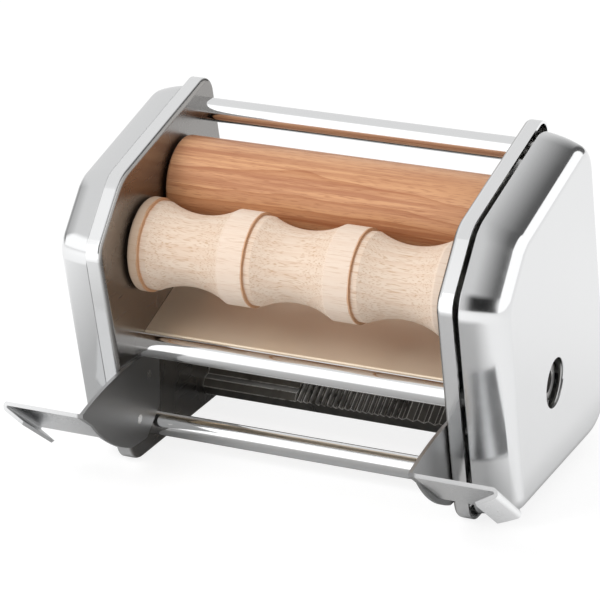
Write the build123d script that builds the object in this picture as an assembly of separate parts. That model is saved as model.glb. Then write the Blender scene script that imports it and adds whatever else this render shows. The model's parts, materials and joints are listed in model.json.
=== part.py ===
from build123d import *
import os
from math import atan2, cos, sin, tan, pi, radians, acos

# Gnocchi roller attachment for a hand-cranked pasta machine.
# X runs along the rollers, Y towards the back, Z up. Lengths are millimetres.
# Side-view places are (y, z) measured from the upper front bend and the floor, and
# are moved to the middle of the whole depth by place().

# Side housings
inner_span = 146.0
plate_wall = 1.2
plate_flange = 7.0
plate_bend = 2.0
cover_wall = 1.0
cover_bend = 8.0
left_cover_gap = 0.1
right_cover_gap = 1.4
cover_lift = 3.5
left_cover_depth = 14.7
right_cover_depth = 19.6

# Side outline, from the front foot up and round to the rear foot
front_foot = (4.5, 0.0)
front_corner = (-22.0, 104.5)
front_bend = (0.0, 130.0)
top_tip = (85.0, 153.0)
rear_foot = (127.5, 0.0)
foot_radius = 12.0
corner_radius = 10.0
bend_radius = 18.0
plate_tip_radius = 9.0
cover_tip_radius = 20.0
rear_radius = 24.0

# Tie rods and their end screws
rod_diameter = 10.2
top_rod = (77.3, 138.1)
front_rod = (11.8, 52.8)
low_rod = (26.8, 11.0)
screw_diameter = 4.0
screw_clearance = 0.15
screw_head_diameter = 8.0
screw_head_height = 2.6
screw_slot_width = 1.0
screw_slot_depth = 1.2
rod_screw_depth = 12.0

# Rollers
ring_radius = 20.0
back_roller_radius = 19.0
roller_gap = 1.0
front_axis = (19.0, 95.5)
nip_angle = 26.4
roller_end_gap = 1.0
end_ring_width = 8.0
ring_width = 14.0
groove_depth = 4.8
bead_width = 3.0
bead_step = 1.2
roller_edge_radius = 1.5
lane_count = 3

# Shafts, bushes and gears
shaft_diameter = 8.0
running_clearance = 0.05
bush_wall = 2.0
bush_flange_width = 2.0
bush_flange_thickness = 1.5
bush_reach = 0.6
clip_thickness = 1.0
clip_width = 2.5
clip_gap = 0.3
clip_mouth = 6.0
shaft_tail = 1.2
gear_start = 5.8
gear_width = 10.0
gear_hub_wall = 4.0
gear_pin_diameter = 2.5
roller_teeth = 20
crank_teeth = 31
crank_angle = -60.0
pressure_angle = 20.0
flank_steps = 4
tooth_backlash = 0.35
addendum_share = 0.9
dedendum_share = 1.25

# Crank shaft with the socket for the crank handle
crank_journal_diameter = 10.0
crank_hub_diameter = 17.0
crank_hole_diameter = 21.0
crank_hub_recess = 3.5
socket_diameter = 10.0
socket_depth = 14.0
socket_key_width = 3.0
socket_key_depth = 1.6
hole_collar_wall = 1.2
hole_collar_length = 2.4

# Studs that hold the covers
stud_diameter = 6.0
stud_places = ((88.0, 90.0), (85.0, 42.0))
nut_width = 7.0
nut_height = 3.0

# Chute under the front roller
chute_wall = 1.0
chute_front = (17.6, 57.2)
chute_length = 62.0
chute_angle = 20.0
chute_side_height = 7.0
chute_side_gap = 0.1
hem_radius = 1.2
chute_rivets = (14.0, 48.0)

# Ridged board at the back
board_front = (72.0, 11.0)
board_angle = 35.0
board_length = 42.0
board_thickness = 6.0
board_side_gap = 0.1
lane_borders = (-28.0, 22.5)
cross_rib_pitch = 7.0
cross_rib_height = 1.6
fine_ridge_pitch = 2.8
fine_ridge_height = 1.4
coarse_ridge_pitch = 5.0
coarse_ridge_height = 2.0
rib_sink = 1.0
board_screw_spots = (10.0, 32.0)

# Hook brackets
bracket_wall = 1.5
leaf_rear = 27.0
leaf_top = 45.6
leaf_crest = (-18.0, 46.4)
leaf_rear_low = 20.0
leaf_low = (14.0, 9.0)
leaf_lobe = (0.0, 9.8)
leaf_lobe_middle = (-20.0, 20.2)
leaf_lobe_start = 11.0
arm_front = -43.0
arm_top = 41.5
arm_slope = 36.0
arm_length = 37.0
hook_fold = 115.0
hook_fold_radius = 2.0
hook_edge = 100.0
hook_drop = 7.5
hook_bow = 3.5
rivet_diameter = 4.0
rivet_head_diameter = 6.5
rivet_head_height = 0.8
bracket_rivets = ((17.0, 37.0), (8.0, 20.0))

# Worked-out values
half_span = inner_span / 2
plate_rim = half_span + plate_flange
rims = {"left": plate_rim + left_cover_gap, "right": plate_rim + right_cover_gap}
faces = {"left": rims["left"] + left_cover_depth, "right": rims["right"] + right_cover_depth}
right_face = faces["right"]
plate_back = half_span + plate_wall
rear_angle = atan2(top_tip[1] - rear_foot[1], rear_foot[0] - top_tip[0])
rear_reach = rear_foot[0] + rear_radius - rear_radius / tan(rear_angle / 2)
middle = (arm_front + rear_reach) / 2
axis_distance = ring_radius + back_roller_radius + roller_gap
gear_module = axis_distance / roller_teeth
crank_distance = gear_module * (roller_teeth + crank_teeth) / 2
bush_radius = shaft_diameter / 2 + running_clearance + bush_wall
crank_bush_radius = crank_journal_diameter / 2 + running_clearance + bush_wall
bush_back = plate_back + bush_flange_thickness
gear_back = plate_back + gear_start
gear_front = gear_back + gear_width
roller_length = inner_span - 2 * roller_end_gap
groove_width = (roller_length - 2 * end_ring_width - (lane_count - 1) * ring_width) / lane_count
hub_end = right_face - crank_hub_recess
screw_hole_diameter = screw_diameter + 2 * screw_clearance
sides = {"left": -1, "right": 1}


def place(point):
    """A side-view place, moved so that the middle of the depth is at zero."""
    return (point[0] - middle, point[1])


def along(point, angle, distance):
    """The side-view place at a distance from a point, in a direction given in degrees."""
    return (point[0] + distance * cos(radians(angle)), point[1] + distance * sin(radians(angle)))


back_axis = along(front_axis, nip_angle, axis_distance)
crank_axis = along(front_axis, crank_angle, crank_distance)


def side_profile(curve):
    """A face in the side view, from lines given in side-view places."""
    return Pos(0, -middle, 0) * (Plane.YZ * make_face(curve))


def slab(face, x_from, x_to):
    """A side-view face thickened from one x to another."""
    low, high = min(x_from, x_to), max(x_from, x_to)
    return extrude(Pos(low, 0, 0) * face, amount=high - low, dir=(1, 0, 0))


def bar(point, radius, x_from, x_to):
    """A round bar along X, centred on a side-view place."""
    y, z = place(point)
    middle_x = (x_from + x_to) / 2
    return Pos(middle_x, y, z) * Rot(0, 90, 0) * Cylinder(radius, abs(x_to - x_from))


def raised(foot, upper, lift):
    """The place above a foot, at a height on the edge that runs up from it."""
    share = lift / (upper[1] - foot[1])
    return (foot[0] + share * (upper[0] - foot[0]), foot[1] + lift)


def outline(lift, tip_radius, inset=0.0):
    """The outline of a side housing, with its feet at a height, drawn in by an inset."""
    points = (raised(front_foot, front_corner, lift), front_corner, front_bend, top_tip,
              raised(rear_foot, top_tip, lift))
    radii = (foot_radius, corner_radius, bend_radius, tip_radius, rear_radius)
    face = make_face(FilletPolyline(*points, radius=radii, close=True))
    return Pos(0, -middle, 0) * (Plane.YZ * (offset(face, -inset) if inset else face))


def pan(lift, tip_radius, flat_x, rim_x, wall, bend):
    """A pressed sheet pan: a flat face at flat_x with a rim that runs to rim_x."""
    way = 1 if rim_x > flat_x else -1
    flat_edge = -1 if way < 0 else 0
    block = slab(outline(lift, tip_radius), flat_x, rim_x)
    block = fillet(block.faces().sort_by(Axis.X)[flat_edge].edges(), bend)
    hollow = slab(outline(lift, tip_radius, wall), flat_x + way * wall, rim_x + way * wall)
    hollow = fillet(hollow.faces().sort_by(Axis.X)[flat_edge].edges(), bend - wall)
    return block - hollow


def bush_places(side):
    """The round openings that a side plate has for bushes: place and radius."""
    places = [(front_axis, bush_radius), (back_axis, bush_radius)]
    if side == "right":
        places.append((crank_axis, crank_bush_radius))
    return places


def board_point(distance, lift=0.0):
    """A place on the ridged board, by distance up its slope and height over its face."""
    return along(along(board_front, board_angle, distance), board_angle + 90, lift)


def chute_point(distance, lift=0.0):
    """A place on the chute, by distance up its slope and height over its face."""
    return along(along(chute_front, chute_angle, distance), chute_angle + 90, lift)


def arm_point(distance, lift=0.0):
    """A place on a bracket's arm, by distance down its slope and height over its face."""
    return along(along((arm_front, arm_top), -arm_slope, distance), 90 - arm_slope, lift)


def inner_plate(side):
    """The flanged plate that carries the bushes, with its flange turned outwards."""
    way = sides[side]
    plate = pan(0.0, plate_tip_radius, way * half_span, way * plate_rim, plate_wall, plate_bend)
    cuts = [(rod, screw_hole_diameter / 2) for rod in (top_rod, front_rod, low_rod)]
    cuts += bush_places(side)
    cuts += [(spot, screw_hole_diameter / 2) for spot in stud_places]
    cuts += [(spot, rivet_diameter / 2) for spot in bracket_rivets]
    cuts += [(chute_point(d, -chute_side_height / 2), rivet_diameter / 2) for d in chute_rivets]
    cuts += [(board_point(d, -board_thickness / 2), screw_hole_diameter / 2) for d in board_screw_spots]
    for spot, radius in cuts:
        plate -= bar(spot, radius, way * (half_span - plate_wall), way * (plate_back + plate_wall))
    return plate


def cover(side):
    """The outer cover. The right one has the collared hole for the crank handle."""
    way = sides[side]
    shell = pan(cover_lift, cover_tip_radius, way * faces[side], way * rims[side], cover_wall, cover_bend)
    if side == "right":
        hole = crank_hole_diameter / 2
        shell += bar(crank_axis, hole + hole_collar_wall, right_face - hole_collar_length, right_face)
        shell -= bar(crank_axis, hole, right_face - 2 * hole_collar_length, right_face + cover_wall)
    return shell


def tie_rod(point):
    """A round rod between the side plates, tapped at both ends."""
    rod = bar(point, rod_diameter / 2, -half_span, half_span)
    for way in sides.values():
        rod -= bar(point, screw_diameter / 2, way * (half_span - rod_screw_depth), way * half_span)
    return rod


def slotted_screw(point, way, seat, depth):
    """A cheese-head screw along X whose head sits on the outside of a side plate."""
    head_end = seat + screw_head_height
    screw = bar(point, screw_diameter / 2, way * (half_span - depth), way * seat)
    screw += bar(point, screw_head_diameter / 2, way * seat, way * head_end)
    y, z = place(point)
    slot = Box(screw_slot_depth, screw_head_diameter, screw_slot_width)
    return screw - Pos(way * (head_end - screw_slot_depth / 2), y, z) * slot


def rivet(point, way, inside):
    """A rivet through a side plate, dressed flush on the sheet that lies inside it."""
    pin = bar(point, rivet_diameter / 2, way * (half_span - inside), way * plate_back)
    return pin + bar(point, rivet_head_diameter / 2, way * plate_back, way * (plate_back + rivet_head_height))


def bush(point, bore_radius, way):
    """A flanged bush pressed into a side plate, flange outside."""
    body = bar(point, bore_radius + bush_wall, way * (half_span - bush_reach), way * plate_back)
    body += bar(point, bore_radius + bush_wall + bush_flange_width, way * plate_back, way * bush_back)
    return body - bar(point, bore_radius, way * (half_span - 2 * bush_reach), way * (bush_back + bush_reach))


def clip(point, radius, x_from, x_to):
    """A retaining clip, an open ring round a shaft."""
    ring = bar(point, radius + clip_width, x_from, x_to) - bar(point, radius, x_from, x_to)
    y, z = place(point)
    reach = radius + clip_width
    mouth = Pos((x_from + x_to) / 2, y, z - reach / 2) * Box(abs(x_to - x_from), clip_mouth, reach)
    return ring - mouth


def tooth_face(teeth, first_tooth):
    """A spur gear's face with involute teeth, one of them at the angle first_tooth."""
    pitch_radius = gear_module * teeth / 2
    base_radius = pitch_radius * cos(radians(pressure_angle))
    tip_radius = pitch_radius + addendum_share * gear_module
    root_radius = pitch_radius - dedendum_share * gear_module
    half_tooth = (pi * gear_module / 2 - tooth_backlash) / (2 * pitch_radius)
    lean = tan(radians(pressure_angle)) - radians(pressure_angle)
    corners = []
    for tooth in range(teeth):
        centre = radians(first_tooth) + 2 * pi * tooth / teeth
        flank = [(root_radius, half_tooth + lean)]
        for step in range(flank_steps + 1):
            radius = max(base_radius, root_radius) + (tip_radius - base_radius) * step / flank_steps
            turn = acos(min(1.0, base_radius / radius))
            flank.append((radius, half_tooth + lean - (tan(turn) - turn)))
        turned = [(r, centre - a) for r, a in flank] + [(r, centre + a) for r, a in reversed(flank)]
        corners += [(r * cos(a), r * sin(a)) for r, a in turned]
    return make_face(Polyline(*corners, close=True))


def gear(point, teeth, first_tooth, bore_radius, hub_start):
    """A spur gear with a hub towards the side plate and a plain bore."""
    y, z = place(point)
    face = Pos(gear_back, y, z) * (Plane.YZ * tooth_face(teeth, first_tooth))
    blank = extrude(face, amount=gear_width)
    if hub_start < gear_back:
        blank += bar(point, bore_radius + gear_hub_wall, hub_start, gear_back)
    return blank - bar(point, bore_radius, hub_start - gear_width, gear_front + gear_width)


def meshing_tooth(angle, first, teeth, other_teeth):
    """The first tooth of a gear that meshes with another, seen at an angle from that one."""
    phase = (angle - first) / (360 / teeth)
    return angle + 180 - (0.5 - phase) * 360 / other_teeth


def gear_pin(point, hub_start):
    """The cross pin that holds a gear's hub on its shaft."""
    y, z = place(point)
    length = shaft_diameter + 2 * gear_hub_wall
    return Pos((hub_start + gear_back) / 2, y, z) * Cylinder(gear_pin_diameter / 2, length)


def roller_solid(point, profile):
    """A roller turned from a profile of (x, radius) lines, bored for its shaft."""
    y, z = place(point)
    return Pos(0, y, z) * revolve(make_face(profile), axis=Axis.X) - bar(
        point, shaft_diameter / 2, -half_span, half_span)


def grooved_profile():
    """Half section of the front roller: rings with a bead on their right, hollows between."""
    x = -roller_length / 2
    low = ring_radius - bead_step
    lines = [Line((x, 0), (x, ring_radius - roller_edge_radius))]
    lines.append(RadiusArc(lines[-1] @ 1, (x + roller_edge_radius, ring_radius), roller_edge_radius))
    ring_end = x + end_ring_width
    for lane in range(lane_count):
        bead = ring_end - bead_width
        lines.append(Polyline(lines[-1] @ 1, (bead, ring_radius), (bead, low), (ring_end, low)))
        groove_end = ring_end + groove_width
        deepest = ((ring_end + groove_end) / 2, ring_radius - groove_depth)
        lines.append(ThreePointArc((ring_end, low), deepest, (groove_end, ring_radius)))
        ring_end = groove_end + ring_width
    x = roller_length / 2
    lines.append(Line(lines[-1] @ 1, (x - roller_edge_radius, ring_radius)))
    lines.append(RadiusArc(lines[-1] @ 1, (x, ring_radius - roller_edge_radius), roller_edge_radius))
    lines.append(Polyline(lines[-1] @ 1, (x, 0), (-x, 0)))
    return lines


def smooth_profile():
    """Half section of the plain back roller."""
    x = roller_length / 2
    top = back_roller_radius
    edge = roller_edge_radius
    return [
        Polyline((x, top - edge), (x, 0), (-x, 0), (-x, top - edge)),
        RadiusArc((-x, top - edge), (-x + edge, top), edge),
        Line((-x + edge, top), (x - edge, top)),
        RadiusArc((x - edge, top), (x, top - edge), edge),
    ]


def roller_shaft(point, hub_start):
    """A roller's steel shaft, with a cross hole for the gear's pin."""
    left_end = -(bush_back + clip_gap + clip_thickness + shaft_tail)
    shaft = bar(point, shaft_diameter / 2, left_end, gear_front + shaft_tail)
    return shaft - gear_pin(point, hub_start)


def crank_shaft():
    """The short drive shaft whose hub takes the crank handle's end."""
    inner_end = half_span - bush_reach - clip_gap - clip_thickness - shaft_tail
    hub_start = bush_back + clip_gap
    shaft = bar(crank_axis, crank_journal_diameter / 2, inner_end, hub_start)
    shaft += bar(crank_axis, crank_hub_diameter / 2, hub_start, hub_end)
    shaft -= bar(crank_axis, socket_diameter / 2, hub_end - socket_depth, hub_end)
    y, z = place(crank_axis)
    key_reach = socket_diameter / 2 + socket_key_depth
    key = Pos(hub_end - socket_depth / 2, y, z + key_reach / 2) * Box(socket_depth, socket_key_width, key_reach)
    return shaft - key


def cover_studs(side):
    """Studs welded to the inside of a cover, with threaded ends through the side plate."""
    way = sides[side]
    studs = []
    for spot in stud_places:
        stud = bar(spot, stud_diameter / 2, way * plate_back, way * (faces[side] - cover_wall))
        tail = half_span - nut_height - shaft_tail
        studs.append(stud + bar(spot, screw_diameter / 2, way * tail, way * plate_back))
    return Compound(children=studs)


def cover_nuts():
    """Hexagon nuts on the studs, on the inner faces of the side plates."""
    nuts = []
    for way in sides.values():
        for spot in stud_places:
            y, z = place(spot)
            blank = Plane.YZ * RegularPolygon(nut_width / 2, 6, major_radius=False)
            start = half_span - nut_height if way > 0 else -half_span
            nut = extrude(Pos(start, y, z) * blank, amount=nut_height)
            nuts.append(nut - bar(spot, screw_diameter / 2, start - nut_height, start + 2 * nut_height))
    return Compound(children=nuts)


def chute_plate():
    """The polished sheet under the front roller, with a rolled front edge and sides turned down."""
    reach = half_span - chute_side_gap
    sheet = Polyline(*[chute_point(d, h) for d, h in (
        (0, 0), (chute_length, 0), (chute_length, -chute_wall), (0, -chute_wall))], close=True)
    side = Polyline(*[chute_point(d, h) for d, h in (
        (hem_radius, 0), (chute_length, 0), (chute_length, -chute_side_height),
        (chute_side_height, -chute_side_height))], close=True)
    chute = slab(side_profile(sheet), -reach, reach)
    chute += bar(chute_point(0, -hem_radius), hem_radius, -reach, reach)
    for way in sides.values():
        wall = slab(side_profile(side), way * (reach - chute_wall), way * reach)
        for distance in chute_rivets:
            spot = chute_point(distance, -chute_side_height / 2)
            wall -= bar(spot, rivet_diameter / 2, way * (reach - 2 * chute_wall), way * (reach + chute_wall))
        chute += wall
    return chute


def ridged_board():
    """The sloping board at the back, with a different ridge pattern in each lane."""
    reach = half_span - board_side_gap
    block = Polyline(*[board_point(d, h) for d, h in (
        (0, 0), (board_length, 0), (board_length, -board_thickness), (0, -board_thickness))], close=True)
    board = slab(side_profile(block), -reach, reach)
    ribs = int(board_length / cross_rib_pitch)
    for index in range(ribs):
        start = index * cross_rib_pitch
        points = [board_point(start, 0), board_point(start + cross_rib_pitch / 2, cross_rib_height),
                  board_point(start + cross_rib_pitch, 0), board_point(start + cross_rib_pitch / 2, -rib_sink)]
        board += slab(side_profile(Polyline(*points, close=True)), -reach, lane_borders[0])
    for start, end, pitch, height in (
            (lane_borders[0], lane_borders[1], fine_ridge_pitch, fine_ridge_height),
            (lane_borders[1], reach, coarse_ridge_pitch, coarse_ridge_height)):
        count = int((end - start) / pitch)
        step = (end - start) / count
        saw = [(start, -height)]
        for index in range(count):
            saw += [(start + index * step, 0), (start + (index + 0.5) * step, height)]
        saw += [(end, 0), (end, -height)]
        y, z = place(board_front)
        slope = Plane(origin=(0, y, z), x_dir=(1, 0, 0),
                      z_dir=(0, -cos(radians(board_angle)), -sin(radians(board_angle))))
        board += extrude(slope * make_face(Polyline(*saw, close=True)), amount=-board_length)
    for way in sides.values():
        for distance in board_screw_spots:
            spot = board_point(distance, -board_thickness / 2)
            board -= bar(spot, screw_diameter / 2, way * (reach - rod_screw_depth), way * reach)
    return board


def arm_section():
    """The section of a bracket's arm across its slope: a flat top and a leg folded back under it."""
    inner = half_span - bracket_wall
    reach = hook_fold - hook_edge
    leg = (reach ** 2 + hook_drop ** 2) ** 0.5
    back = bracket_wall * (leg + reach) / hook_drop
    step = (-bracket_wall * hook_drop / leg, bracket_wall * reach / leg)
    fold_in = (hook_fold + step[0] - back * reach / leg, -bracket_wall)
    end = (hook_edge, -hook_drop)
    face = make_face(Polyline((inner, 0), (hook_fold, 0), end, (end[0] + step[0], end[1] + step[1]), fold_in,
                              (inner, -bracket_wall), close=True))
    face = fillet(face.vertices().sort_by(Axis.X)[-2], hook_fold_radius - bracket_wall)
    return fillet(face.vertices().sort_by(Axis.X)[-1], hook_fold_radius)


def bracket(side):
    """A folded hook bracket: a leaf on the side plate and a sloping arm folded back under itself."""
    inner = half_span - bracket_wall
    lobe_start = arm_point(leaf_lobe_start, -bracket_wall)
    front_low = (arm_front, arm_top - bracket_wall / cos(radians(arm_slope)))
    leaf = [
        Polyline(lobe_start, front_low, (arm_front, arm_top)),
        ThreePointArc((arm_front, arm_top), leaf_crest, (leaf_rear, leaf_top)),
        Polyline((leaf_rear, leaf_top), (leaf_rear, leaf_rear_low), leaf_low, leaf_lobe),
        ThreePointArc(leaf_lobe, leaf_lobe_middle, lobe_start),
    ]
    sheet = slab(side_profile(leaf), inner, half_span)
    for spot in bracket_rivets:
        sheet -= bar(spot, rivet_diameter / 2, inner - bracket_wall, half_span + bracket_wall)
    y, z = place(arm_point(-hook_drop))
    slope = Plane(origin=(0, y, z), x_dir=(1, 0, 0), z_dir=(0, -cos(radians(arm_slope)), sin(radians(arm_slope))))
    arm = extrude(slope * arm_section(), amount=-(arm_length + 2 * hook_drop))
    upper_end = arm_point(arm_length - hook_bow, bracket_wall)
    lower_end = arm_point(arm_length - hook_bow, -hook_drop - bracket_wall)
    side_view = [
        Polyline(upper_end, (arm_front, arm_top + bracket_wall), (arm_front, lower_end[1]), lower_end),
        ThreePointArc(lower_end, arm_point(arm_length, -hook_drop / 2), upper_end),
    ]
    sheet += arm & slab(side_profile(side_view), inner, hook_fold)
    return sheet if side == "right" else mirror(sheet, about=Plane.YZ)


roller_hub_start = bush_back + clip_gap
front_first = nip_angle
back_first = meshing_tooth(nip_angle, front_first, roller_teeth, roller_teeth)
crank_first = meshing_tooth(crank_angle, front_first, roller_teeth, crank_teeth)
clip_end = bush_back + clip_gap + clip_thickness
crank_clip_end = half_span - bush_reach - clip_gap

nodes = {}
for side, way in sides.items():
    nodes[side + "_inner_plate"] = inner_plate(side)
    nodes[side + "_cover"] = cover(side)
    nodes[side + "_cover_studs"] = cover_studs(side)
    nodes[side + "_bracket"] = bracket(side)
    for name, axis in (("front", front_axis), ("back", back_axis)):
        nodes[side + "_" + name + "_bush"] = bush(axis, bush_radius - bush_wall, way)
nodes["crank_bush"] = bush(crank_axis, crank_bush_radius - bush_wall, sides["right"])
nodes["cover_nuts"] = cover_nuts()
for name, point in (("top", top_rod), ("front", front_rod), ("low", low_rod)):
    nodes[name + "_tie_rod"] = tie_rod(point)
nodes["tie_rod_screws"] = Compound(children=[
    slotted_screw(point, way, plate_back, rod_screw_depth)
    for way in sides.values() for point in (top_rod, front_rod, low_rod)])
nodes["bracket_rivets"] = Compound(children=[
    rivet(spot, way, bracket_wall) for way in sides.values() for spot in bracket_rivets])
nodes["chute_plate"] = chute_plate()
nodes["chute_rivets"] = Compound(children=[
    rivet(chute_point(distance, -chute_side_height / 2), way, chute_wall + chute_side_gap)
    for way in sides.values() for distance in chute_rivets])
nodes["ridged_board"] = ridged_board()
nodes["board_screws"] = Compound(children=[
    slotted_screw(board_point(distance, -board_thickness / 2), way, plate_back, rod_screw_depth)
    for way in sides.values() for distance in board_screw_spots])
nodes["front_roller"] = roller_solid(front_axis, grooved_profile())
nodes["back_roller"] = roller_solid(back_axis, smooth_profile())
for name, axis, first in (("front", front_axis, front_first), ("back", back_axis, back_first)):
    nodes[name + "_roller_shaft"] = roller_shaft(axis, roller_hub_start)
    pin = gear_pin(axis, roller_hub_start)
    nodes[name + "_roller_gear"] = gear(axis, roller_teeth, first, shaft_diameter / 2, roller_hub_start) - pin
    nodes[name + "_gear_pin"] = pin
    nodes[name + "_shaft_clip"] = clip(axis, shaft_diameter / 2, -clip_end, -(clip_end - clip_thickness))
nodes["crank_shaft"] = crank_shaft()
nodes["crank_gear"] = gear(crank_axis, crank_teeth, crank_first, crank_hub_diameter / 2, gear_back)
nodes["crank_clip"] = clip(crank_axis, crank_journal_diameter / 2, crank_clip_end - clip_thickness, crank_clip_end)

os.makedirs("parts", exist_ok=True)
for name, shape in nodes.items():
    export_step(shape, os.path.join("parts", name + ".step"))
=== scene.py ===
import json
import math

import bmesh
import bpy
from mathutils import Matrix, Vector


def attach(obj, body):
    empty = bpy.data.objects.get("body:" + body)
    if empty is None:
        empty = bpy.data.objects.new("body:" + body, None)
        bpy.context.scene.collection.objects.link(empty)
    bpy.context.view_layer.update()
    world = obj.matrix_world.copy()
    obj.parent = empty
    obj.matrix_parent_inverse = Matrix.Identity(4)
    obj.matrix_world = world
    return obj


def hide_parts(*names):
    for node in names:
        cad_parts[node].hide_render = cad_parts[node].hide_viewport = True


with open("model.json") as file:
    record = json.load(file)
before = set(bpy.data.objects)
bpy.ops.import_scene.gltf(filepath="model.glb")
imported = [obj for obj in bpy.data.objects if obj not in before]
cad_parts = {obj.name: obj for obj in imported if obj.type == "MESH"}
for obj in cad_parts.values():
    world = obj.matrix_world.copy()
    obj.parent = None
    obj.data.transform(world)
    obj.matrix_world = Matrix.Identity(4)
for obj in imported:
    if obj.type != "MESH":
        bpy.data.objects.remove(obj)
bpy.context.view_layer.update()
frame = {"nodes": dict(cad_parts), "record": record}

# Camera of the photograph, in metres and degrees
camera_place = Vector((0.466, -1.0774, 0.5151))
camera_azimuth = math.radians(23.87)
camera_elevation = math.radians(20.58)
image_pixels = 600
focal_pixels = 3000
sensor_width = 36.0

# Studio levels: what lights the object, then what mirrors see from left to right, which is a dim
# edge, the lit left, the top, a dark gap and a white sheet that starts at one direction along x.
# Another white sheet is low in front, on the left, with the dark room beside it
studio_fill = 0.80
studio_edge = 0.34
studio_left = 0.84
studio_top = 0.78
studio_gap = 0.15
sheet_start = 0.40
sheet_level = 1.35
room_level = 0.02

# Floor: its grey to the camera, to mirrors and to other rays, and its own light to the first two; to
# mirrors it is greyer and glows only away from the machine, as painted shade under it
floor_seen = 0.22
floor_paint = 0.48
floor_bounce = 0.80
floor_glow = 0.83
floor_shine = 0.58
floor_half_width = 4.0

# Lamp: place, aim and size in metres, power in watts
lamp_place = (-0.55, -0.75, 0.95)
lamp_aim = (0.0, 0.0, 0.07)
lamp_size = 0.7
lamp_power = 9.0

# Pressed covers in metres: side corners (y, z, radius), then rim, face, crowned part and bend along x
cover_corners = (
    (-0.03485, 0.0035, 0.012),
    (-0.06046, 0.1045, 0.015),
    (-0.03846, 0.1300, 0.018),
    (0.04654, 0.1530, 0.020),
    (0.08807, 0.0035, 0.024),
)
cover_sides = {
    "left_cover": (-0.0801, -0.0948, 0.0110, 0.0034),
    "right_cover": (0.0823, 0.1010, 0.0146, 0.0038),
}
cover_draft = math.radians(6.0)
cover_crown = math.radians(22.0)
cover_wall = 0.001
corner_segments = 12
crown_steps = 6
bend_steps = 10
crank_hole = (0.00604, 0.05133, 0.0105)
hole_lip = 0.0024
hole_segments = 96
smooth_limit = math.radians(40.0)

# Eased edges of the ridged board, and the width of the bright glints painted on them
board_edge = 0.00025
board_edge_limit = math.radians(25.0)
glint_radius = 0.0007

# Plates and bracket leaves are dull and painted darker as shade up to the first place along x, and bright
# from the second on
dull_and_shaded_until = 0.0736
bright_from = 0.0746
dull_roughness = 0.12

# Finishes, as linear colours
chrome_tint = (0.74, 0.745, 0.75, 1.0)
# Painted light: a lighter copy of the covers' chrome for the plates' outer faces, the brackets and the
# rods
lit_chrome_tint = (0.88, 0.885, 0.89, 1.0)
# Painted shade: the plates' and bracket leaves' inner faces between the plates are tinted darker
plate_inner_shade_tint = (0.27, 0.26, 0.25, 1.0)
leaf_shade_tint = (0.36, 0.36, 0.36, 1.0)
# Painted reflection: the chute's steel is tinted warm as if it mirrored the wooden rollers
chute_warm_reflection_tint = (1.0, 0.86, 0.68, 1.0)
steel_tint = (0.62, 0.61, 0.60, 1.0)
board_tint = (0.11, 0.107, 0.10, 1.0)
board_patch_tint = (0.17, 0.165, 0.155, 1.0)
# Painted highlight: the near-white colour of the glints on the board's edges
edge_glint_tint = (0.85, 0.84, 0.82, 1.0)
nylon_tint = (0.78, 0.77, 0.72, 1.0)
nylon_mottle_tint = (0.70, 0.69, 0.63, 1.0)

# Wood of each roller: where its pith lies, rings to the metre, colours and how strong its marks are
pale_stock = {
    "Pith": (0.0, -0.09, 0.02), "Ring Count": 260.0,
    "Early": (0.735, 0.60, 0.485, 1.0), "Late": (0.69, 0.53, 0.41, 1.0),
    "Streak": (0.64, 0.45, 0.32, 1.0), "Streaking": 0.30,
    "Fleck": (0.51, 0.32, 0.19, 1.0), "Flecking": 0.66,
}
dark_stock = {
    "Pith": (0.0, 0.06, 0.06), "Ring Count": 240.0,
    "Early": (0.63, 0.33, 0.165, 1.0), "Late": (0.46, 0.20, 0.085, 1.0),
    "Streak": (0.30, 0.085, 0.028, 1.0), "Streaking": 0.62,
    "Fleck": (0.36, 0.14, 0.06, 1.0), "Flecking": 0.55,
}
dark_stock_shift = (0.2, 0.010, 0.021)
coat_roughness = 0.35

# Grooved roller: the first burnt line along x, then the lines' spacing, half width, strength and
# colour, how ragged they are, the plain bands' share of the spacing, strength and colour (lighter
# partly as painted light), and the left end ring's strength and colour (darker as painted shade)
burn_first = -0.067
burn_pitch = 0.04733
burn_width = 0.0007
burn_depth = 0.75
burn_tint = (0.52, 0.25, 0.10, 1.0)
ragged_width = 0.0003
band_share = 0.2535
band_depth = 0.45
band_wood_and_light_tint = (0.80, 0.665, 0.56, 1.0)
end_depth = 0.5
end_shade_tint = (0.52, 0.33, 0.19, 1.0)


def new_material(name):
    """An empty node material with its Principled shader and Object coordinates."""
    material = bpy.data.materials.new(name)
    material.use_nodes = True
    tree = material.node_tree
    tree.nodes.clear()
    output = tree.nodes.new("ShaderNodeOutputMaterial")
    shader = tree.nodes.new("ShaderNodeBsdfPrincipled")
    tree.links.new(shader.outputs["BSDF"], output.inputs["Surface"])
    place = tree.nodes.new("ShaderNodeTexCoord")
    return material, tree, shader, place.outputs["Object"]


def add_node(tree, kind, values=None, **settings):
    """A node with its settings, and its inputs set to values or linked to sockets."""
    node = tree.nodes.new(kind)
    for key, value in settings.items():
        setattr(node, key, value)
    for key, value in (values or {}).items():
        if isinstance(value, bpy.types.NodeSocket):
            tree.links.new(value, node.inputs[key])
        else:
            node.inputs[key].default_value = value
    return node


def math_node(tree, operation, first, second=0.5, clamp=False):
    """One Math node's result."""
    node = add_node(tree, "ShaderNodeMath", {0: first, 1: second}, operation=operation, use_clamp=clamp)
    return node.outputs["Value"]


def stretched(tree, vector, scale):
    """Coordinates stretched by a scale for each axis."""
    node = add_node(tree, "ShaderNodeMapping", {"Vector": vector, "Scale": scale})
    return node.outputs["Vector"]


def noise(tree, vector, detail, roughness):
    """A soft noise value at coordinates that are already stretched."""
    node = add_node(tree, "ShaderNodeTexNoise", {
        "Vector": vector, "Scale": 1.0, "Detail": detail, "Roughness": roughness})
    return node.outputs["Fac"]


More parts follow.
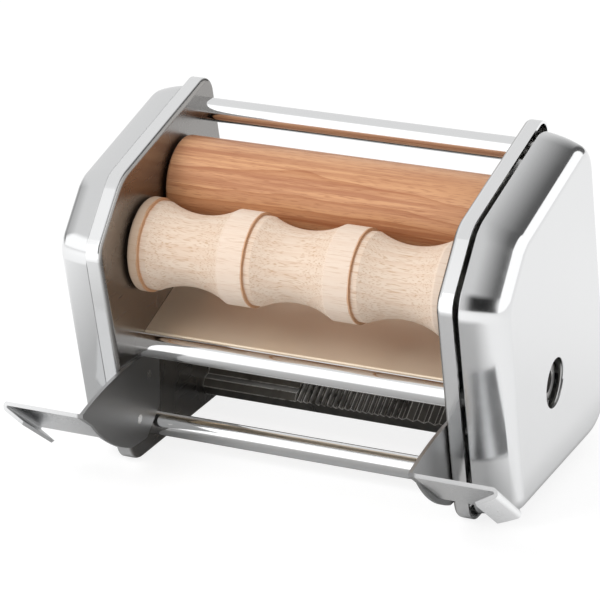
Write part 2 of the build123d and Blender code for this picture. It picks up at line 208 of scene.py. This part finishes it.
def spread(tree, value, low, high, to_low=0.0, to_high=1.0):
    """A value mapped from one range to another and kept inside it."""
    node = add_node(tree, "ShaderNodeMapRange", {
        "Value": value, "From Min": low, "From Max": high, "To Min": to_low, "To Max": to_high})
    return node.outputs["Result"]


def mixed(tree, amount, first, second):
    """Two colours mixed by an amount."""
    node = add_node(tree, "ShaderNodeMix", {0: amount, 6: first, 7: second}, data_type="RGBA")
    return node.outputs[2]


def vector_math(tree, operation, *values):
    """One Vector Math node's outputs."""
    return add_node(tree, "ShaderNodeVectorMath", dict(enumerate(values)), operation=operation).outputs


def separated(tree, vector):
    """A vector's X, Y and Z."""
    return add_node(tree, "ShaderNodeSeparateXYZ", {"Vector": vector}).outputs


def new_group(name, inputs, outputs):
    """A shader group with named sockets, and its input and output nodes."""
    group = bpy.data.node_groups.new(name, "ShaderNodeTree")
    for label, kind in inputs:
        group.interface.new_socket(label, in_out="INPUT", socket_type=kind)
    for label, kind in outputs:
        group.interface.new_socket(label, in_out="OUTPUT", socket_type=kind)
    return group, group.nodes.new("NodeGroupInput"), group.nodes.new("NodeGroupOutput")


def place_group(tree, group, values):
    """A group placed in a material with its own values."""
    return add_node(tree, "ShaderNodeGroup", values, node_tree=group).outputs


def handling_marks_group():
    """Smears and hair scratches left on polished metal by handling."""
    value = "NodeSocketFloat"
    group, source, target = new_group(
        "handling_marks",
        [("Place", "NodeSocketVector"), ("Base", value), ("Smear", value), ("Scratch", value)],
        [("Roughness", value), ("Height", value)])
    place = source.outputs["Place"]
    smear = noise(group, stretched(group, place, (38.0, 46.0, 30.0)), 3.0, 0.6)
    lines = noise(group, stretched(group, place, (900.0, 60.0, 1400.0)), 2.0, 0.5)
    hairs = spread(group, lines, 0.62, 0.74)
    smeared = math_node(group, "MULTIPLY", spread(group, smear, 0.40, 0.72), source.outputs["Smear"])
    scratched = math_node(group, "MULTIPLY", hairs, source.outputs["Scratch"])
    total = math_node(group, "ADD", math_node(group, "ADD", source.outputs["Base"], smeared), scratched)
    group.links.new(total, target.inputs["Roughness"])
    group.links.new(hairs, target.inputs["Height"])
    return group


def wood_figure_group():
    """Growth rings cut by the turning, streaks along the grain and short ray flecks."""
    colour, value = "NodeSocketColor", "NodeSocketFloat"
    group, source, target = new_group(
        "wood_figure",
        [("Place", "NodeSocketVector"), ("Pith", "NodeSocketVector"), ("Ring Count", value),
         ("Early", colour), ("Late", colour), ("Streak", colour), ("Streaking", value),
         ("Fleck", colour), ("Flecking", value)],
        [("Color", colour), ("Grain", value)])
    place = source.outputs["Place"]
    wander = noise(group, stretched(group, place, (9.0, 26.0, 26.0)), 3.0, 0.5)
    offset = vector_math(group, "SUBTRACT", place, source.outputs["Pith"])["Vector"]
    flat = vector_math(group, "MULTIPLY", offset, (0.02, 1.0, 1.0))["Vector"]
    distance = vector_math(group, "LENGTH", flat)["Value"]
    rings = math_node(group, "MULTIPLY", distance, source.outputs["Ring Count"])
    rings = math_node(group, "ADD", rings, math_node(group, "MULTIPLY", wander, 2.6))
    saw = math_node(group, "FRACT", rings)
    late = math_node(group, "POWER", saw, 3.0)
    body = mixed(group, late, source.outputs["Early"], source.outputs["Late"])
    streaks = noise(group, stretched(group, place, (12.0, 480.0, 480.0)), 5.0, 0.62)
    broad = noise(group, stretched(group, place, (5.0, 60.0, 60.0)), 3.0, 0.5)
    patches = noise(group, stretched(group, place, (16.0, 40.0, 40.0)), 2.0, 0.5)
    streaked = math_node(group, "MULTIPLY", spread(group, streaks, 0.40, 0.58),
                         spread(group, broad, 0.38, 0.56))
    streaked = math_node(group, "MAXIMUM", streaked, spread(group, patches, 0.50, 0.80, 0.0, 0.4))
    body = mixed(group, math_node(group, "MULTIPLY", streaked, source.outputs["Streaking"]), body,
                 source.outputs["Streak"])
    dashes = noise(group, stretched(group, place, (170.0, 2500.0, 2500.0)), 1.0, 0.4)
    flecks = math_node(group, "MULTIPLY", spread(group, dashes, 0.55, 0.68), source.outputs["Flecking"])
    body = mixed(group, flecks, body, source.outputs["Fleck"])
    fibres = noise(group, stretched(group, place, (60.0, 2600.0, 2600.0)), 2.0, 0.5)
    group.links.new(body, target.inputs["Color"])
    group.links.new(math_node(group, "SUBTRACT", fibres, flecks), target.inputs["Grain"])
    return group


handling_marks = handling_marks_group()
wood_figure = wood_figure_group()


def bumped(tree, shader, height, strength, distance):
    """A bump from a height feeding the shader's normal."""
    node = add_node(tree, "ShaderNodeBump", {"Strength": strength, "Distance": distance, "Height": height})
    tree.links.new(node.outputs["Normal"], shader.inputs["Normal"])


def polished_metal(name, tint, base, smear, scratch, metal=1.0, inner_shade_tint=None):
    """Bright metal with smears and hair scratches; with an inner shade tint it is rougher and painted
    darker between the plates, as painted shade.
    """
    material, tree, shader, place = new_material(name)
    shader.inputs["Base Color"].default_value = tint
    if inner_shade_tint:
        # Painted shade: inside the first place along x the colour turns to the darker inner tint
        across = math_node(tree, "ABSOLUTE", separated(tree, place)["X"])
        outer = spread(tree, across, dull_and_shaded_until, bright_from)
        tree.links.new(mixed(tree, outer, inner_shade_tint, tint), shader.inputs["Base Color"])
        base = spread(tree, outer, 0.0, 1.0, base + dull_roughness, base)
    shader.inputs["Metallic"].default_value = metal
    marks = place_group(tree, handling_marks, {
        "Place": place, "Base": base, "Smear": smear, "Scratch": scratch})
    tree.links.new(marks["Roughness"], shader.inputs["Roughness"])
    bumped(tree, shader, marks["Height"], 0.03, 0.00005)
    return material


def scorched_steps(tree, place, body):
    """A body colour with plain bands lightened partly as painted light, a left end ring darkened as
    painted shade, and brown lines burnt in at the rings' steps.
    """
    across = separated(tree, place)["X"]
    ragged = noise(tree, stretched(tree, place, (900.0, 160.0, 160.0)), 3.0, 0.6)
    across = math_node(tree, "ADD", across, spread(tree, ragged, 0.3, 0.7, -ragged_width, ragged_width))
    turn = math_node(tree, "DIVIDE", math_node(tree, "SUBTRACT", across, burn_first), burn_pitch)
    band_start = 1.0 - band_share
    band = spread(tree, math_node(tree, "FRACT", turn), band_start - 0.006, band_start + 0.006)
    # Partly painted light: the flat plain bands are lightened, partly for smoother wood
    body = mixed(tree, math_node(tree, "MULTIPLY", band, band_depth), body, band_wood_and_light_tint)
    # Painted shade: the ring at the left end is darkened
    end_ring = spread(tree, across, burn_first - 2 * ragged_width, burn_first, end_depth, 0.0)
    body = mixed(tree, end_ring, body, end_shade_tint)
    away = math_node(tree, "PINGPONG", turn, 0.5)
    burnt = spread(tree, away, burn_width / burn_pitch, 0.3 * burn_width / burn_pitch)
    return mixed(tree, math_node(tree, "MULTIPLY", burnt, burn_depth), body, burn_tint)


def turned_wood(name, stock, gloss, coat=0.0, shift=(0.0, 0.0, 0.0), scorched=False):
    """Turned wood with the figure of one stock, cut from it at a shifted place."""
    material, tree, shader, place = new_material(name)
    cut = vector_math(tree, "ADD", place, shift)["Vector"]
    figure = place_group(tree, wood_figure, {"Place": cut, **stock})
    body = scorched_steps(tree, place, figure["Color"]) if scorched else figure["Color"]
    tree.links.new(body, shader.inputs["Base Color"])
    shader.inputs["Specular IOR Level"].default_value = 0.5
    shader.inputs["Coat Weight"].default_value = coat
    shader.inputs["Coat Roughness"].default_value = coat_roughness
    uneven = spread(tree, figure["Grain"], 0.2, 0.8, gloss + 0.12, gloss - 0.08)
    tree.links.new(uneven, shader.inputs["Roughness"])
    bumped(tree, shader, figure["Grain"], 0.18, 0.0002)
    return material


def satin_board(name, tint):
    """Dark satin metal, a little uneven, with glints painted bright on its edges."""
    material, tree, shader, place = new_material(name)
    patches = noise(tree, stretched(tree, place, (120.0, 120.0, 120.0)), 4.0, 0.6)
    body = mixed(tree, spread(tree, patches, 0.3, 0.7), tint, board_patch_tint)
    eased = add_node(tree, "ShaderNodeBevel", {"Radius": glint_radius}).outputs["Normal"]
    flat = tree.nodes.new("ShaderNodeNewGeometry").outputs["True Normal"]
    likeness = vector_math(tree, "DOT_PRODUCT", eased, flat)["Value"]
    # Painted highlight: edges found by the Bevel node, in patches, take the glint colour and turn less
    # metallic
    glinting = math_node(tree, "MULTIPLY", spread(tree, likeness, 0.91, 0.992, 1.0, 0.0),
                     spread(tree, patches, 0.38, 0.50))
    tree.links.new(mixed(tree, glinting, body, edge_glint_tint), shader.inputs["Base Color"])
    tree.links.new(spread(tree, glinting, 0.0, 1.0, 0.85, 0.25), shader.inputs["Metallic"])
    tree.links.new(spread(tree, patches, 0.3, 0.7, 0.26, 0.38), shader.inputs["Roughness"])
    bumped(tree, shader, patches, 0.08, 0.0002)
    return material


def moulded_nylon(name, tint):
    """Plain nylon with a faint mottle."""
    material, tree, shader, place = new_material(name)
    mottle = noise(tree, stretched(tree, place, (300.0, 300.0, 300.0)), 3.0, 0.5)
    body = mixed(tree, spread(tree, mottle, 0.3, 0.7), tint, nylon_mottle_tint)
    tree.links.new(body, shader.inputs["Base Color"])
    shader.inputs["Roughness"].default_value = 0.45
    bumped(tree, shader, mottle, 0.05, 0.0001)
    return material


chrome = polished_metal("chromed_sheet", chrome_tint, 0.10, 0.05, 0.05)
plate_chrome = polished_metal("chromed_plate", lit_chrome_tint, 0.12, 0.06, 0.05, inner_shade_tint=plate_inner_shade_tint)
bracket_chrome = polished_metal("chromed_bracket", lit_chrome_tint, 0.22, 0.06, 0.05, inner_shade_tint=leaf_shade_tint)
rod_chrome = polished_metal("chromed_rod", lit_chrome_tint, 0.07, 0.04, 0.04)
# Painted reflection: the chute's warm tint, partly diffuse, stands in for the mirrored wood
chute_steel = polished_metal("polished_chute", chute_warm_reflection_tint, 0.31, 0.08, 0.06, metal=0.62)
plain_steel = polished_metal("turned_steel", steel_tint, 0.24, 0.10, 0.08)
dark_board = satin_board("dark_board", board_tint)
nylon = moulded_nylon("gear_nylon", nylon_tint)
pale_beech = turned_wood("pale_beech", pale_stock, 0.55, scorched=True)
dark_beech = turned_wood("dark_beech", dark_stock, 0.38, coat=0.30, shift=dark_stock_shift)

finish_of_slot = {
    "chrome": chrome, "polished_steel": chute_steel, "dark_metal": dark_board, "pale_wood": pale_beech,
    "dark_wood": dark_beech, "nylon": nylon, "steel": plain_steel}
finish_of_kind = {"tie_rod": rod_chrome, "inner_plate": plate_chrome, "bracket": bracket_chrome}
for entry in frame["record"]["subparts"]:
    node = frame["nodes"][entry["node"]]
    kind = entry["node"].partition("_")[2]
    finish = finish_of_kind.get(kind, finish_of_slot[entry["material_slot"]])
    for material_slot in node.material_slots:
        material_slot.material = finish


def opened_hole(shape, face, centre, radius, depth):
    """A round hole in a flat face, with a rounded edge and a lip turned in along x."""
    rim = list(face.edges)
    turned = Matrix.Translation(centre) @ Matrix.Rotation(math.pi / 2, 4, "Y")
    ring = bmesh.ops.create_circle(
        shape, segments=hole_segments, radius=radius * 1.05, matrix=turned)["verts"]
    edges = list({edge for vert in ring for edge in vert.link_edges})
    bmesh.ops.delete(shape, geom=[face], context="FACES_ONLY")
    bmesh.ops.bridge_loops(shape, edges=rim + edges)
    about = Matrix.Translation(-centre)
    for step, narrow in ((0.06, 0.97), (0.2, 0.98), (0.74, 1.0)):
        grown = bmesh.ops.extrude_edge_only(shape, edges=edges)["geom"]
        verts = [item for item in grown if isinstance(item, bmesh.types.BMVert)]
        edges = [item for item in grown if isinstance(item, bmesh.types.BMEdge)]
        bmesh.ops.translate(shape, verts=verts, vec=(step * depth, 0.0, 0.0))
        bmesh.ops.scale(shape, verts=verts, vec=(1.0, narrow, narrow), space=about)


def pressed_cover(node):
    """A cover pressed from sheet: a short straight rim, a crowned part, then a tight bend to the face."""
    rim, face_x, crown_reach, bend_reach = cover_sides[node]
    way = math.copysign(1.0, face_x)
    shape = bmesh.new()
    base = shape.faces.new([shape.verts.new((rim, y, z)) for y, z, radius in cover_corners])
    grown = bmesh.ops.extrude_face_region(shape, geom=[base])["geom"]
    verts = [item for item in grown if isinstance(item, bmesh.types.BMVert)]
    straight = face_x - way * (crown_reach + bend_reach) - rim
    bmesh.ops.translate(shape, verts=verts, vec=(straight, 0.0, 0.0))
    for index, (y, z, radius) in enumerate(cover_corners):
        here = Vector((y, z))
        before, after = (Vector(cover_corners[(index + step) % len(cover_corners)][:2]) - here
                         for step in (-1, 1))
        run = radius / math.tan(before.angle(after) / 2)
        edge = next(edge for edge in shape.edges
                    if all((vert.co.yz - here).length < 1e-6 for vert in edge.verts))
        bmesh.ops.bevel(shape, geom=[edge], offset=run, affect="EDGES", segments=corner_segments,
                        profile=0.5, material=-1)
    bmesh.ops.recalc_face_normals(shape, faces=shape.faces)
    back, front = sorted((face for face in shape.faces if abs(face.normal.x) > 0.9),
                         key=lambda face: way * face.calc_center_median().x)
    crown_radius = crown_reach / (math.sin(cover_crown) - math.sin(cover_draft))
    bend_radius = bend_reach / (1 - math.sin(cover_crown))
    arcs = ((cover_draft, cover_crown, crown_radius, crown_steps),
            (cover_crown, math.pi / 2, bend_radius, bend_steps))
    bends = [(low + (high - low) * step / steps, low + (high - low) * (step + 1) / steps, radius)
             for low, high, radius, steps in arcs for step in range(steps)]
    for start, end, radius in bends:
        bmesh.ops.inset_region(shape, faces=[front], use_even_offset=True, use_boundary=True,
                               thickness=radius * (math.cos(start) - math.cos(end)),
                               depth=radius * (math.sin(end) - math.sin(start)))
    if node == "right_cover":
        opened_hole(shape, front, Vector((face_x, *crank_hole[:2])), crank_hole[2], -way * hole_lip)
    bmesh.ops.delete(shape, geom=[back], context="FACES_ONLY")
    bmesh.ops.recalc_face_normals(shape, faces=shape.faces)
    mesh = bpy.data.meshes.new("pressed_" + node)
    shape.to_mesh(mesh)
    shape.free()
    mesh.shade_smooth()
    mesh.set_sharp_from_angle(angle=smooth_limit)
    mesh.materials.append(chrome)
    piece = bpy.data.objects.new("pressed_" + node, mesh)
    bpy.context.scene.collection.objects.link(piece)
    sheet = piece.modifiers.new("sheet", "SOLIDIFY")
    sheet.thickness = cover_wall
    sheet.offset = -1.0
    flat = piece.modifiers.new("flat_faces", "WEIGHTED_NORMAL")
    flat.keep_sharp = True
    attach(piece, "frame")
    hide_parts(node)


def grey(level):
    """A grey as a colour."""
    return (level, level, level, 1.0)


def white_rays(tree):
    """1 for rays that see the backdrop: from the camera, a mirror or glass."""
    path = tree.nodes.new("ShaderNodeLightPath")
    seen = math_node(tree, "ADD", path.outputs["Is Camera Ray"], path.outputs["Is Glossy Ray"], clamp=True)
    return math_node(tree, "ADD", seen, path.outputs["Is Transmission Ray"], clamp=True)


def studio_world():
    """White to the camera, the sheets and dark gaps of a studio to mirrors, a plain level to the rest."""
    world = bpy.data.worlds.new("studio")
    bpy.context.scene.world = world
    world.use_nodes = True
    tree = world.node_tree
    tree.nodes.clear()
    output = tree.nodes.new("ShaderNodeOutputWorld")
    path = tree.nodes.new("ShaderNodeLightPath")
    direction = tree.nodes.new("ShaderNodeTexCoord").outputs["Generated"]
    axes = separated(tree, direction)
    level = spread(tree, axes["X"], -0.50, -0.38, studio_left, studio_top)
    level = spread(tree, axes["X"], -0.97, -0.82, studio_edge, level)
    across = math_node(tree, "SUBTRACT", axes["X"], spread(tree, axes["Y"], -0.47, 0.60, 0.20, 0.0))
    level = math_node(tree, "MULTIPLY", level, spread(tree, across, -0.21, 0.13, 1.0, studio_gap))
    high = math_node(tree, "MULTIPLY", spread(tree, axes["Z"], 0.75, 0.85, 1.0, 0.0),
                     spread(tree, axes["X"], -0.46, -0.42))
    low = math_node(tree, "MAXIMUM", spread(tree, axes["Z"], 0.40, 0.55, 1.0, 0.0), high)
    ahead = spread(tree, axes["Y"], -0.30, -0.15, 1.0, 0.0)
    leftward = spread(tree, axes["X"], -0.22, -0.12, 1.0, 0.0)
    front_sheet = math_node(tree, "MULTIPLY", math_node(tree, "MULTIPLY", low, ahead), leftward)
    level = spread(tree, front_sheet, 0.0, 1.0, level, sheet_level)
    room = math_node(tree, "MULTIPLY", spread(tree, axes["Z"], 0.52, 0.76, 1.0, 0.0),
                     spread(tree, axes["Y"], -0.55, -0.40, 1.0, 0.0))
    room = math_node(tree, "MULTIPLY", room, spread(tree, axes["X"], -0.08, 0.04))
    level = spread(tree, room, 0.0, 1.0, level, room_level)
    right_sheet = spread(tree, axes["X"], sheet_start - 0.012, sheet_start + 0.012)
    level = spread(tree, right_sheet, 0.0, 1.0, level, sheet_level)
    level = spread(tree, path.outputs["Is Camera Ray"], 0.0, 1.0, level, 1.0)
    level = spread(tree, white_rays(tree), 0.0, 1.0, studio_fill, level)
    light = add_node(tree, "ShaderNodeBackground", {"Color": grey(1.0), "Strength": level})
    tree.links.new(light.outputs[0], output.inputs["Surface"])


def studio_floor():
    """A pale floor that reads white and keeps a soft shadow."""
    mesh = bpy.data.meshes.new("floor")
    shape = bmesh.new()
    bmesh.ops.create_grid(shape, x_segments=1, y_segments=1, size=floor_half_width)
    shape.to_mesh(mesh)
    shape.free()
    floor = bpy.data.objects.new("floor", mesh)
    bpy.context.scene.collection.objects.link(floor)
    material = bpy.data.materials.new("pale_floor")
    material.use_nodes = True
    tree = material.node_tree
    tree.nodes.clear()
    output = tree.nodes.new("ShaderNodeOutputMaterial")
    path = tree.nodes.new("ShaderNodeLightPath")
    direct = path.outputs["Is Camera Ray"]
    mirrored = path.outputs["Is Glossy Ray"]
    paint = mixed(tree, mirrored, grey(floor_bounce), grey(floor_paint))
    paint = mixed(tree, direct, paint, grey(floor_seen))
    matt = add_node(tree, "ShaderNodeBsdfDiffuse", {"Color": paint})
    place = tree.nodes.new("ShaderNodeTexCoord").outputs["Object"]
    away = vector_math(tree, "LENGTH", place)["Value"]
    rightward = separated(tree, place)["X"]
    # Painted shade: mirrors see the floor glow only away from the machine, so the floor under it reads
    # dark
    open_floor = math_node(tree, "MAXIMUM", spread(tree, away, 0.16, 0.26),
                           spread(tree, rightward, 0.09, 0.12))
    open_floor = math_node(tree, "MULTIPLY", open_floor, mirrored)
    lift = math_node(tree, "ADD", math_node(tree, "MULTIPLY", direct, floor_glow),
                     math_node(tree, "MULTIPLY", open_floor, floor_shine))
    glow = add_node(tree, "ShaderNodeEmission", {"Strength": lift})
    total = tree.nodes.new("ShaderNodeAddShader")
    tree.links.new(matt.outputs[0], total.inputs[0])
    tree.links.new(glow.outputs[0], total.inputs[1])
    tree.links.new(total.outputs[0], output.inputs["Surface"])
    mesh.materials.append(material)


def softbox(name, place, aim, size, power):
    """A square soft lamp pointed at a place."""
    lamp = bpy.data.lights.new(name, "AREA")
    lamp.shape = "SQUARE"
    lamp.size = size
    lamp.energy = power
    holder = bpy.data.objects.new(name, lamp)
    holder.location = place
    holder.rotation_euler = (Vector(aim) - Vector(place)).to_track_quat("-Z", "Y").to_euler()
    holder.visible_glossy = False
    bpy.context.scene.collection.objects.link(holder)


def photograph_camera():
    """The camera at the photograph's viewing angle."""
    data = bpy.data.cameras.new("photograph")
    data.sensor_width = sensor_width
    data.lens = focal_pixels / image_pixels * sensor_width
    data.clip_end = 20.0
    camera = bpy.data.objects.new("photograph", data)
    right = Vector((math.cos(camera_azimuth), math.sin(camera_azimuth), 0.0))
    back = Vector((math.sin(camera_azimuth) * math.cos(camera_elevation),
                   -math.cos(camera_azimuth) * math.cos(camera_elevation), math.sin(camera_elevation)))
    up = back.cross(right)
    camera.matrix_world = Matrix((right, up, back)).transposed().to_4x4()
    camera.location = camera_place
    bpy.context.scene.collection.objects.link(camera)
    bpy.context.scene.camera = camera


for node in cover_sides:
    pressed_cover(node)
eased = frame["nodes"]["ridged_board"].modifiers.new("eased_edges", "BEVEL")
eased.width = board_edge
eased.segments = 2
eased.limit_method = "ANGLE"
eased.angle_limit = board_edge_limit
studio_world()
studio_floor()
softbox("key_light", lamp_place, lamp_aim, lamp_size, lamp_power)
photograph_camera()
bpy.context.scene.view_settings.view_transform = "Standard"
